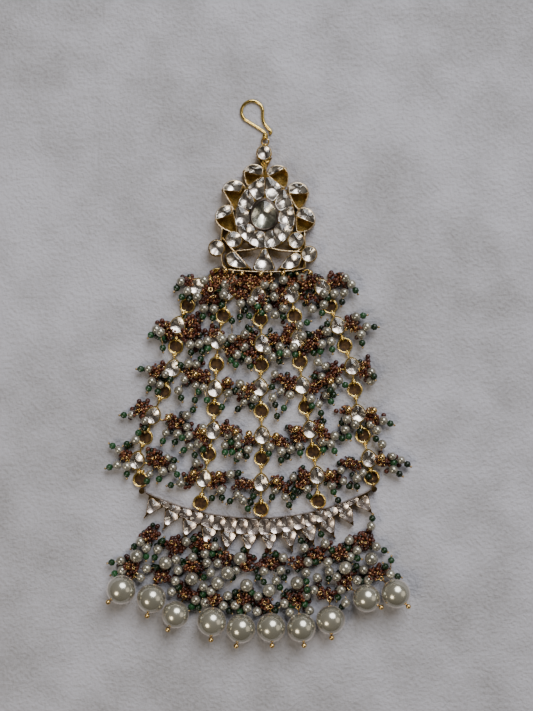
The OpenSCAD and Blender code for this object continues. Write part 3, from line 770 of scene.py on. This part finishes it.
# Height, number of red beads round a spot, how far they spread along x, and the spots
RED_TABLES = (
    (2.8, 18, 1.85, RUBY_SPOTS),
    (4.0, 29, 2.4, FRINGE_RUBY_SPOTS),
)
RED_SQUASH = 0.75
RED_PILE = 1.2
# How hard each kind is to push aside. FIXED ones don't move at all, and are made elsewhere
FIXED = 1e6
WEIGHTS = {
    "collet": FIXED, "side": FIXED, "large": FIXED, "pearl": 6, "middle": 6, "green": 4, "seed": 3,
}
# What lies below the beads that show, in dark tones as painted shade, and how high they are held by it: in
# the mass, and in the rows
UNDER_FINISHES = (RED, RED, LEAF)
UNDER_R = 0.85
UNDER_HEIGHT = 1.5
ROW_HEIGHT = 1.2
# A bead goes below only where at least this many beads lie within this many millimetres above it
UNDER_COVER = 4
UNDER_REACH = 2.6
# The two top rows lie above the first line and the fringe below the second one
TOP_ROWS_Y = 4
FRINGE_Y = -45
# The crescent bar: where its middle line ends, how far it hangs in the middle, half its width
BAR_END_Y = -37.5
BAR_SAG = 10.5
BAR_HALF = 38
# Red beads are more coppery above this line, within this distance of the middle
COPPERY_Y = 26
COPPERY_REACH = 17
# Pins: how far a pearl's pin reaches past it, radii of the pins, and of the small rings among the reds
PEARL_PIN_PAST = 0.7
PEARL_PIN_R = 0.14
GREEN_PIN_R = 0.16
RED_RING_WIRE_R = 0.13


def in_mass(y):
    """True in the two top rows and in the fringe, where the beads lie in more than one layer."""
    return (y > TOP_ROWS_Y) | (y < FRINGE_Y)


class Beads:
    """All loose beads, as balls that are pushed apart until they rest beside each other."""

    def __init__(self):
        self.spots = []
        self.radii = []
        self.kinds = []

    def add(self, x, y, z, radius, kind):
        self.spots.append((x, y, z))
        self.radii.append(radius)
        self.kinds.append(kind)

    def settle(self, rounds=70, look_again=10, reach=1.2, overlap=0.98, push_share=0.9, home_pull=0.3,
               sink=0.04, most=0.5):
        """Heavy beads keep their place and push the light ones aside.

        Every look_again rounds the pairs closer than reach are found anew. In each round a bead sinks
        a little, is pulled back over the spot where it was seen, and moves by most at most.
        """
        spots = np.array(self.spots, float)
        home = spots.copy()
        radii = np.array(self.radii)
        weights = np.array([WEIGHTS[kind] for kind in self.kinds], float)
        fixed = weights >= FIXED
        lowest = radii + np.where(in_mass(spots[:, 1]), UNDER_HEIGHT, ROW_HEIGHT)
        for step in range(rounds):
            if step % look_again == 0:
                gap = np.linalg.norm(spots[:, None, :2] - spots[None, :, :2], axis=2)
                near = gap < radii[:, None] + radii[None, :] + reach
                a, b = np.nonzero(np.triu(near, 1))
                keep = ~(fixed[a] & fixed[b])
                a, b = a[keep], b[keep]
            apart = spots[a] - spots[b]
            distance = np.maximum(np.linalg.norm(apart, axis=1), 1e-6)
            short = np.maximum(overlap * (radii[a] + radii[b]) - distance, 0)
            push = apart / distance[:, None] * (push_share * short)[:, None]
            share = (weights[b] / (weights[a] + weights[b]))[:, None]
            moved = np.zeros_like(spots)
            np.add.at(moved, a, push * share)
            np.add.at(moved, b, -push * (1 - share))
            moved[:, :2] += (home - spots)[:, :2] * home_pull
            moved[:, 2] -= sink
            moved[fixed] = 0
            spots += np.clip(moved, -most, most)
            spots[:, 2] = np.where(fixed, spots[:, 2], np.maximum(spots[:, 2], lowest))
        self.spots = spots


def collet_spots():
    """Where the collets of the chains are, and on which chain, from the CAD stones."""
    spots = []
    for k in CHAINS:
        for _, centre, _ in stone_seats(f"strand_{k}_stones"):
            spots.append((centre[0], centre[1], k))
    return spots


def scatter_beads(collets):
    """All beads at rest, and the hubs: the middles of the groups of red ones."""
    rng = random.Random(5)
    beads = Beads()
    for x, y, _ in collets:
        beads.add(x, y, COLLET_HEIGHT, COLLET_R, "collet")
    for spot in SIDE_BALL_SPOTS:
        beads.add(*place(spot), SIDE_BALL_HEIGHT, SIDE_BALL_R, "side")
    for kind, radius, low, high, spots in BEAD_TABLES:
        for spot in spots:
            x, y = place(spot)
            size = radius
            if kind == "pearl" and not in_mass(y):
                size = rng.choice((SMALLER_PEARL_R, PEARL_R))
            beads.add(x, y, rng.uniform(low, high), size, kind)
    hubs = []
    for height, count, spread, spots in RED_TABLES:
        for spot in spots:
            x, y = place(spot)
            hubs.append((x, y, height))
            for _ in range(count):
                turn = rng.uniform(0, 2 * math.pi)
                out = spread * math.sqrt(rng.random())
                right = out * math.cos(turn)
                up = RED_SQUASH * out * math.sin(turn)
                beads.add(x + right, y + up, height + rng.uniform(0, RED_PILE), SEED_R, "seed")
    for k in STRINGS:
        low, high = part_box(f"fringe_{k}_pearl")
        middle = (low + high) / 2 / MM
        beads.add(middle.x, middle.y, middle.z, (high.z - low.z) / 2 / MM, "large")
    beads.settle()
    return beads, hubs


def under_beads(beads, rng):
    """Spots and finishes of the dark beads below the ones that show."""
    below = []
    flat = beads.spots[:, :2]
    for (x, y, _), kind in zip(beads.spots, beads.kinds):
        if WEIGHTS[kind] == FIXED or (kind == "seed" and rng.random() < 0.8):
            continue
        for _ in range(5 if in_mass(y) else 3):
            turn = rng.uniform(0, 2 * math.pi)
            out = rng.uniform(0.2, 2.2)
            spot = (x + out * math.cos(turn), y + out * math.sin(turn))
            if np.count_nonzero(np.linalg.norm(flat - spot, axis=1) < UNDER_REACH) >= UNDER_COVER:
                below.append(((*spot, UNDER_R + rng.uniform(0, 0.35)), rng.choice(UNDER_FINISHES)))
    return below


def owner_of(spot, collets, strings):
    """The node that a bead belongs to: the nearest chain, or the nearest string of the fringe."""
    x, y = spot[:2]
    bar = BAR_END_Y - BAR_SAG * max(0.0, 1 - (x / BAR_HALF) ** 2)
    if y > bar - 2:
        k = min(collets, key=lambda c: (c[0] - x) ** 2 + (c[1] - y) ** 2)[2]
        return f"strand_{k}_bunches"
    return min(strings, key=lambda s: abs(s[1] - x))[0]


def nearest_to(spot, spots):
    """The one among spots that is nearest."""
    return spots[np.argmin(np.linalg.norm(spots - spot, axis=1))]


def add_seed(work, spot, rng):
    """A red seed bead, turned any way."""
    axis = (rng.uniform(-1, 1), rng.uniform(-1, 1), rng.uniform(-1, 1))
    coppery = spot[1] > COPPERY_Y and abs(spot[0]) < COPPERY_REACH
    tone = rng.uniform(0.45, 1) if coppery else rng.random() ** 1.2
    add_bead(work, SEED_FORM, spot, SEED_R, RED, tone, SEED_FLAT, axis)


def add_pearl(work, spot, radius, hub, rng):
    """A small pearl, and its pin that runs to the nearest hub."""
    add_bead(work, PEARL_FORM, spot, radius, PALE, rng.random())
    inwards = (hub - spot) / max(np.linalg.norm(hub - spot), 1e-6)
    inwards[2] = min(inwards[2], -0.2)
    add_tube(work, [spot, spot + inwards * (radius + PEARL_PIN_PAST)], PEARL_PIN_R, WIRE)


def add_green(work, spot, radius, pearl, rng):
    """A green bead on the pin that comes from the nearest pearl, and the dot at the pin's end."""
    add_bead(work, GREEN_FORM, spot, radius, LEAF, rng.random(), GREEN_FLAT)
    ahead = spot - pearl
    ahead[2] = abs(ahead[2]) * 0.3
    ahead = ahead / max(np.linalg.norm(ahead), 1e-6)
    end = spot + ahead * (GREEN_R + DOT_R * 0.6)
    add_bead(work, DOT_FORM, end, DOT_R, PIN)
    add_tube(work, [pearl, spot, end], GREEN_PIN_R, PIN)


def add_red_rings(work, hub, rng):
    """Two small rings of wire among the red beads."""
    x, y, z = hub
    for _ in range(2):
        centre = (x + rng.uniform(-1.4, 1.4), y + rng.uniform(-1.4, 1.4), z + rng.uniform(0.2, 1.3))
        axis = (rng.uniform(-1, 1), rng.uniform(-1, 1), rng.uniform(-0.6, 0.6))
        path = circle_path(centre, rng.uniform(0.45, 0.65), axis, 12)
        add_tube(work, path, RED_RING_WIRE_R, WIRE, closed=True)


def build_bunches():
    """The beads of every chain and of every string of the fringe, a piece for each."""
    collets = collet_spots()
    beads, hubs = scatter_beads(collets)
    strings = []
    for k in STRINGS:
        low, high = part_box(f"fringe_{k}_string")
        strings.append((f"fringe_{k}_string", (low.x + high.x) / 2 / MM))
    works = {}

    def work_at(spot):
        return works.setdefault(owner_of(spot, collets, strings), Work())

    rng = random.Random(8)
    pearls = beads.spots[[n for n, kind in enumerate(beads.kinds) if kind in ("pearl", "middle")]]
    hub_spots = np.array(hubs)
    for spot, radius, kind in zip(beads.spots, beads.radii, beads.kinds):
        if kind == "seed":
            add_seed(work_at(spot), spot, rng)
        elif kind in ("pearl", "middle"):
            add_pearl(work_at(spot), spot, radius, nearest_to(spot, hub_spots), rng)
        elif kind == "green":
            add_green(work_at(spot), spot, radius, nearest_to(spot, pearls), rng)
    # The beads below take only the darkest tones: real beads, with painted shade in their colour.
    for spot, finish in under_beads(beads, rng):
        add_bead(work_at(spot), GREEN_FORM, spot, UNDER_R, finish, 0.3 * rng.random())
    for hub in hubs:
        add_red_rings(work_at(hub), hub, rng)
    for node, work in sorted(works.items()):
        work.piece(node.rsplit("_", 1)[0] + "_beadwork", BEAD_FINISHES, "beads", node)


# Rings of the chains


# Across the outside of a ring and its wire's thickness, as in the CAD links
RING_OUTER = 4.7
RING_WIRE = 0.55
# The dark discs inside the rings are painted shadow: their sides, the height of their rim and of their floor
RING_SHADOW_DISC_SIDES = 24
RING_SHADOW_DISC_LEVEL = 0.35
RING_SHADOW_DISC_FLOOR = 0.12
RING_WIRE_R = 0.3
RING_WIRE_PATH_R = 2.18
RING_WIRE_HEIGHT = 1.05
KNOT_R = 0.6
KNOT_WIRE_R = 0.24
KNOT_PITCH = 0.46
KNOT_HEIGHT = 1.0


def add_knot(work, x, y, heading, turns=2, radius=KNOT_R):
    """A few turns of wire wound round a link, square to its heading."""
    ahead = np.array((math.cos(heading), math.sin(heading), 0))
    for n in range(turns):
        spot = np.array((x, y, KNOT_HEIGHT)) + ahead * KNOT_PITCH * (n - (turns - 1) / 2)
        add_tube(work, circle_path(spot, radius, ahead, 16), KNOT_WIRE_R, sides=8, closed=True)


def ring_centres(k):
    """Where the rings of a chain lie, from the CAD links."""
    mesh = NODES[f"strand_{k}_links"].data
    centres = []
    for part in loose_parts(mesh):
        points = np.array([mesh.vertices[i].co for i in part]) / MM
        low, high = points.min(0), points.max(0)
        lies_flat = high[2] - low[2] <= RING_WIRE + 0.1
        if lies_flat and min(high[:2] - low[:2]) >= RING_OUTER - 0.6:
            centres.append((low + high) / 2)
    return centres


def add_ring_shadow_disc(work, centre):
    """A shallow dark dish inside a ring: painted shadow where the ring shades the cloth."""
    reach = RING_OUTER / 2 - RING_WIRE * 0.6
    n = RING_SHADOW_DISC_SIDES
    rim = [(centre[0] + reach * math.cos(t), centre[1] + reach * math.sin(t), RING_SHADOW_DISC_LEVEL)
           for t in np.linspace(0, 2 * math.pi, n, endpoint=False)]
    inner = [(centre[0] + (x - centre[0]) * 0.6, centre[1] + (y - centre[1]) * 0.6, RING_SHADOW_DISC_FLOOR)
             for x, y, _ in rim]
    faces = [(i, (i + 1) % n, n + (i + 1) % n, n + i) for i in range(n)]
    faces.append(tuple(range(n, 2 * n)))
    work.add(rim + inner, faces)


def ring_shadow_discs():
    """The painted shadow inside each ring of the chains as a dark disc, the ring's stout wire and the knots
    at its ends.
    """
    collets = collet_spots()
    for k in CHAINS:
        shadow_discs = Work()
        wires = Work()
        own = [(x, y) for x, y, chain in collets if chain == k]
        for centre in ring_centres(k):
            add_ring_shadow_disc(shadow_discs, centre)
            path = circle_path((centre[0], centre[1], RING_WIRE_HEIGHT), RING_WIRE_PATH_R, (0, 0, 1), 40)
            add_tube(wires, path, RING_WIRE_R, sides=10, closed=True)
            out = RING_OUTER / 2 + 0.3
            for x, y in sorted(own, key=lambda c: math.hypot(c[0] - centre[0], c[1] - centre[1]))[:2]:
                heading = math.atan2(y - centre[1], x - centre[0])
                across, along = out * math.cos(heading), out * math.sin(heading)
                add_knot(wires, centre[0] + across, centre[1] + along, heading)
        shadow_discs.piece(f"strand_{k}_ring_shadow_discs", [PAINTED_RING_SHADOW], "gold")
        wires.piece(f"strand_{k}_ring_wires", [LINK_GOLD], "gold")


# Hook


HOOK_CENTRE = (-0.48, 81.03)
HOOK_R = 3.3
HOOK_WIRE_R = 0.5
# The bend's first and last angle in degrees, clockwise from the left leg to the right one
HOOK_BEND = (-127, -355)
HOOK_LEFT_LEG = [(3.02, 74.88), (3.57, 73.83)]
HOOK_RIGHT_LEG = [(2.82, 79.08), (3.42, 77.18), (4.62, 75.78), (5.32, 74.88), (5.22, 74.28)]
HOOK_EYE = (3.57, 72.63, 1.0)
HOOK_EYE_R = 0.62
HOOK_EYE_WIRE_R = 0.2
HOOK_KNOT_R = 0.7
# The knots' places along y, from the eye
HOOK_KNOTS = (0.5, -2.6)


def smooth_run(points, steps=6):
    """A smooth curve through a run of points."""
    points = [np.asarray(p, float) for p in points]
    run = []
    for i in range(len(points) - 1):
        a, b, c, d = points[max(i - 1, 0)], points[i], points[i + 1], points[min(i + 2, len(points) - 1)]
        for t in np.linspace(0, 1, steps, endpoint=False):
            run.append(0.5 * (2 * b + (c - a) * t + (2 * a - 5 * b + 4 * c - d) * t ** 2
                              + (3 * b - a - 3 * c + d) * t ** 3))
    return run + [points[-1]]


def hook():
    """The hook: round wire bent to a tear, its free end rounded off."""
    loop = [(HOOK_CENTRE[0] + HOOK_R * math.cos(t), HOOK_CENTRE[1] + HOOK_R * math.sin(t))
            for t in np.radians(np.linspace(*HOOK_BEND, 20))]
    flat = smooth_run(HOOK_LEFT_LEG[::-1] + loop + HOOK_RIGHT_LEG)
    work = Work()
    add_tube(work, [(x, y, HOOK_WIRE_R) for x, y in flat], HOOK_WIRE_R, sides=14)
    for x, y in (flat[0], flat[-1]):
        add_bead(work, PEARL_FORM, (x, y, HOOK_WIRE_R), HOOK_WIRE_R)
    eye = circle_path(HOOK_EYE, HOOK_EYE_R, (1, 0, 0), 20)
    add_tube(work, eye, HOOK_EYE_WIRE_R, sides=8, closed=True)
    for offset in HOOK_KNOTS:
        add_knot(work, HOOK_EYE[0], HOOK_EYE[1] + offset, math.pi / 2, 3, HOOK_KNOT_R)
    work.piece("hook_wire", [HOOK_GOLD], "gold", "hook")


# Gold balls


CROWN_BALL_SPOTS = [(226, 271), (242, 274), (261, 274.5), (283, 273.5), (310, 273)]
SMALL_CROWN_BALL_SPOTS = [(233, 273), (271, 275), (297, 274)]
CROWN_BALL_R = 0.85
SMALL_CROWN_BALL_R = 0.5
CROWN_BALL_HEIGHT = 4.4
SIDE_BALL_FOOT = 0.6
SIDE_BALL_POST_R = 0.2


def crown_balls():
    """Gold balls on and between the eyelets below the crown."""
    work = Work()
    for spots, radius in ((CROWN_BALL_SPOTS, CROWN_BALL_R), (SMALL_CROWN_BALL_SPOTS, SMALL_CROWN_BALL_R)):
        for spot in spots:
            add_bead(work, PEARL_FORM, (*place(spot), CROWN_BALL_HEIGHT), radius)
    work.piece("crown_balls", [WIRE_GOLD], "gold")


def side_balls():
    """Gold balls on posts beside the collets of the chains."""
    work = Work()
    for spot in SIDE_BALL_SPOTS:
        x, y = place(spot)
        add_bead(work, PEARL_FORM, (x, y, SIDE_BALL_HEIGHT), SIDE_BALL_R)
        add_tube(work, [(x, y, SIDE_BALL_HEIGHT), (x, y, SIDE_BALL_FOOT)], SIDE_BALL_POST_R)
    work.piece("side_balls", [WIRE_GOLD], "gold")


# Crown


# The petals: middle, outer radius, the angles their round edge starts and ends at, and the corners
# of the lower half. Then the gold strips of the base. All in millimetres
PETALS = [
    (0.1, 60.6, 3.6, 40, 152, [(-2.9, 60.4), (-1.8, 57.4), (2.6, 59.5)]),
    (7.4, 60.3, 3.6, 55, 150, [(4.4, 60.5), (9.5, 56.6), (10.7, 58.9), (10.7, 61.4)]),
    (-6.0, 55.5, 3.8, 42, 165, [(-8.9, 54.9), (-7.3, 52.2), (-5.5, 49.6), (-2.4, 56.1)]),
    (13.4, 54.9, 3.7, 8, 140, [(11.1, 54.3), (13.7, 49.9), (15.9, 51.9), (16.8, 53.9)]),
    (-8.1, 47.8, 3.8, 80, 188, [(-11.4, 46.2), (-10.5, 45.0), (-8.9, 43.9), (-4.9, 42.8), (-6.4, 50.2)]),
    (15.3, 47.0, 3.8, -15, 100, [(13.1, 49.0), (13.1, 43.4), (15.4, 43.1), (17.0, 43.7), (18.4, 45.0)]),
]
BASE_STRIPS = [
    [(-9.7, 44.5), (-10.1, 40.7), (-9.8, 34.1), (-8.3, 31.8), (-3.3, 31.2), (2.6, 30.9), (9.7, 31.1),
     (15.3, 32.0), (16.0, 34.1), (15.7, 43.7)],
    [(-9.6, 41.3), (-1.1, 31.9)],
    [(14.7, 38.3), (7.6, 31.7)],
    [(-5.8, 37.3), (-1.1, 37.8), (3.4, 38.7), (8.5, 37.5), (14.8, 37.1)],
]
CROWN_TOP = 4.2
RIM_R = 0.17
PETAL_ARC_POINTS = 14
PETAL_FOOT_SHRINK = 0.95
# The dark ring round the central pear: how far outside the stone, and its radius
PEAR_RING_GROW = 0.38
PEAR_RING_R = 0.34
# The cup below the top stone, which narrows to the pear: its floor, its top, its outline and its rim
NECK_FLOOR = 1.0
NECK_TOP = 3.9
NECK_RIM_HEIGHT = 4.0
NECK_RIM_R = 0.16
NECK_CUP = [place(spot) for spot in ((257.5, 158.5), (263.3, 168), (266.6, 168), (272.3, 158), (265, 162))]


def crown_rims():
    """The bright upper edges of the crown's gold walls, in paler gold than the walls below, whose gold is
    darkened as painted shade.
    """
    work = Work()
    for x, y, radius, start, end, foot in PETALS:
        turns = np.radians(np.linspace(start, end, PETAL_ARC_POINTS))
        arc = [(x + (radius - 0.2) * math.cos(t), y + (radius - 0.2) * math.sin(t)) for t in turns]
        middle = np.mean(arc + foot, axis=0)
        run = arc + [middle + (np.array(corner) - middle) * PETAL_FOOT_SHRINK for corner in foot]
        add_tube(work, [(a, b, CROWN_TOP) for a, b in smooth_run(run + run[:1], 3)], RIM_R)
    for strip in BASE_STRIPS:
        add_tube(work, [(a, b, CROWN_TOP) for a, b in smooth_run(strip, 4)], RIM_R)
    work.piece("crown_rims", [RIM_GOLD], "gold")


def pear_ring():
    """The dark ring round the central pear."""
    work = Work()
    outline = stone_seats("crown_pear_stone")[0][0]
    edge = rounded_outline(outline, PEAR_RING_GROW, STONE_SIDES, SOFT_CORNER)
    add_tube(work, [(a, b, CROWN_TOP) for a, b in edge], PEAR_RING_R, sides=8, closed=True)
    work.piece("pear_ring", [HEART_RIM], "gold")


def crown_neck():
    """The cup below the top stone, and the rim of its open sides."""
    work = Work()
    points = [(a, b, level) for level in (NECK_FLOOR, NECK_TOP) for a, b in NECK_CUP]
    n = len(NECK_CUP)
    sides = [(i, (i + 1) % n, n + (i + 1) % n, n + i) for i in range(n)]
    work.add(points, sides + [tuple(range(n - 1, -1, -1)), tuple(range(n, 2 * n))])
    add_tube(work, [(a, b, NECK_RIM_HEIGHT) for a, b in NECK_CUP[:3]], NECK_RIM_R)
    work.piece("crown_neck", [SHADED_CROWN_GOLD], "gold")


# Head pins of the large pearls


# Which way each pin points, in degrees, from the first string to the last
PIN_TURNS = (-137, -103, -117, -92, -106, -87, -81, -87, -30, -45)
# From the pearl to the pin's eye, the eye's height, its ring and the pin's ball
PIN_EYE = 1.12
PIN_EYE_HEIGHT = 3
PIN_EYE_R = 0.62
PIN_EYE_WIRE_R = 0.2
PIN_R = 0.225
PIN_BALL_R = 0.8
PIN_BALL_GAP = 0.15


def head_pins():
    """The pin through each large pearl, with the ball at its end."""
    work = Work()
    for k, turn in zip(STRINGS, PIN_TURNS):
        low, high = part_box(f"fringe_{k}_pearl")
        middle = np.array((low + high) / 2 / MM)
        radius = middle[2]
        heading = math.radians(turn)
        eye = middle - np.array((math.cos(heading), math.sin(heading), 0)) * (radius + PIN_EYE)
        eye[2] = PIN_EYE_HEIGHT
        ahead = (middle - eye) / np.linalg.norm(middle - eye)
        ball = middle + ahead * (radius + PIN_BALL_R + PIN_BALL_GAP)
        add_bead(work, PEARL_FORM, ball, PIN_BALL_R)
        add_tube(work, [eye, ball], PIN_R)
        add_tube(work, circle_path(eye - ahead * 0.5, PIN_EYE_R, (0, 0, 1)), PIN_EYE_WIRE_R, closed=True)
    work.piece("head_pins", [WIRE_GOLD], "gold")


# Stage, in metres


CLOTH_SIZE = 4
CLOTH_DROP = 0.00003
LAMP_DISTANCE = 1.1


def lay_cloth():
    """The plane below, a hair lower than the headpiece, so that no two faces lie in one place."""
    bpy.ops.mesh.primitive_plane_add(size=CLOTH_SIZE, location=(0, 0, -CLOTH_DROP))
    cloth = bpy.context.object
    cloth.name = "cloth"
    cloth.data.materials.append(pale_cloth())


def lamp(name, direction, size, power, colour):
    """A round lamp in that direction from the headpiece, turned to it."""
    light = bpy.data.lights.new(name, "AREA")
    light.shape = "DISK"
    light.size = size
    light.energy = power
    light.color = colour
    made = bpy.data.objects.new(name, light)
    bpy.context.scene.collection.objects.link(made)
    ahead = Vector(direction).normalized()
    made.location = ahead * LAMP_DISTANCE
    made.rotation_euler = ahead.to_track_quat("Z", "Y").to_euler()


def light_up():
    """A large window above and behind, two warmer lamps at the sides, and a dim warm room."""
    lamp("window", (0.255, 0.64, 0.724), 0.82, 13.5, (0.985, 0.99, 1.01))
    lamp("room_lamp", (-0.514, -0.386, 0.766), 0.42, 4.3, (1, 0.87, 0.68))
    lamp("side_lamp", (0.846, 0.02, 0.533), 0.7, 1.2, (1, 0.90, 0.76))
    world = bpy.data.worlds.new("room")
    world.use_nodes = True
    room = world.node_tree.nodes["Background"].inputs
    room["Color"].default_value = rgba(0.32, 0.28, 0.22)
    room["Strength"].default_value = 0.25
    bpy.context.scene.world = world


def set_camera():
    """Straight above the middle of the picture."""
    camera = bpy.data.cameras.new("camera")
    camera.sensor_fit = "VERTICAL"
    camera.angle_y = 2 * math.atan(PICTURE[1] * PIXEL / 2 / CAMERA_DISTANCE)
    made = bpy.data.objects.new("camera", camera)
    bpy.context.scene.collection.objects.link(made)
    x, y = place((PICTURE[0] / 2, PICTURE[1] / 2))
    made.location = (x * MM, y * MM, (MEASURED_LEVEL + CAMERA_DISTANCE) * MM)
    bpy.context.scene.camera = made


def finish_cad_nodes():
    """Gold and pearl on the CAD nodes that stay in view."""
    finishes = [("hook_ring", HOOK_RING_GOLD), ("crown_frame", SHADED_CROWN_GOLD), ("bar_frame", BAR_GOLD)]
    finishes += [(f"strand_{k}_links", LINK_GOLD) for k in CHAINS]
    finishes += [(f"fringe_{k}_pearl", LARGE_PEARL) for k in STRINGS]
    for node, finish in finishes:
        mesh = NODES[node].data
        mesh.materials.clear()
        mesh.materials.append(finish)


set_camera()
light_up()
lay_cloth()
finish_cad_nodes()
all_stones()
build_bunches()
head_pins()
ring_shadow_discs()
crown_balls()
side_balls()
crown_rims()
pear_ring()
crown_neck()
hook()
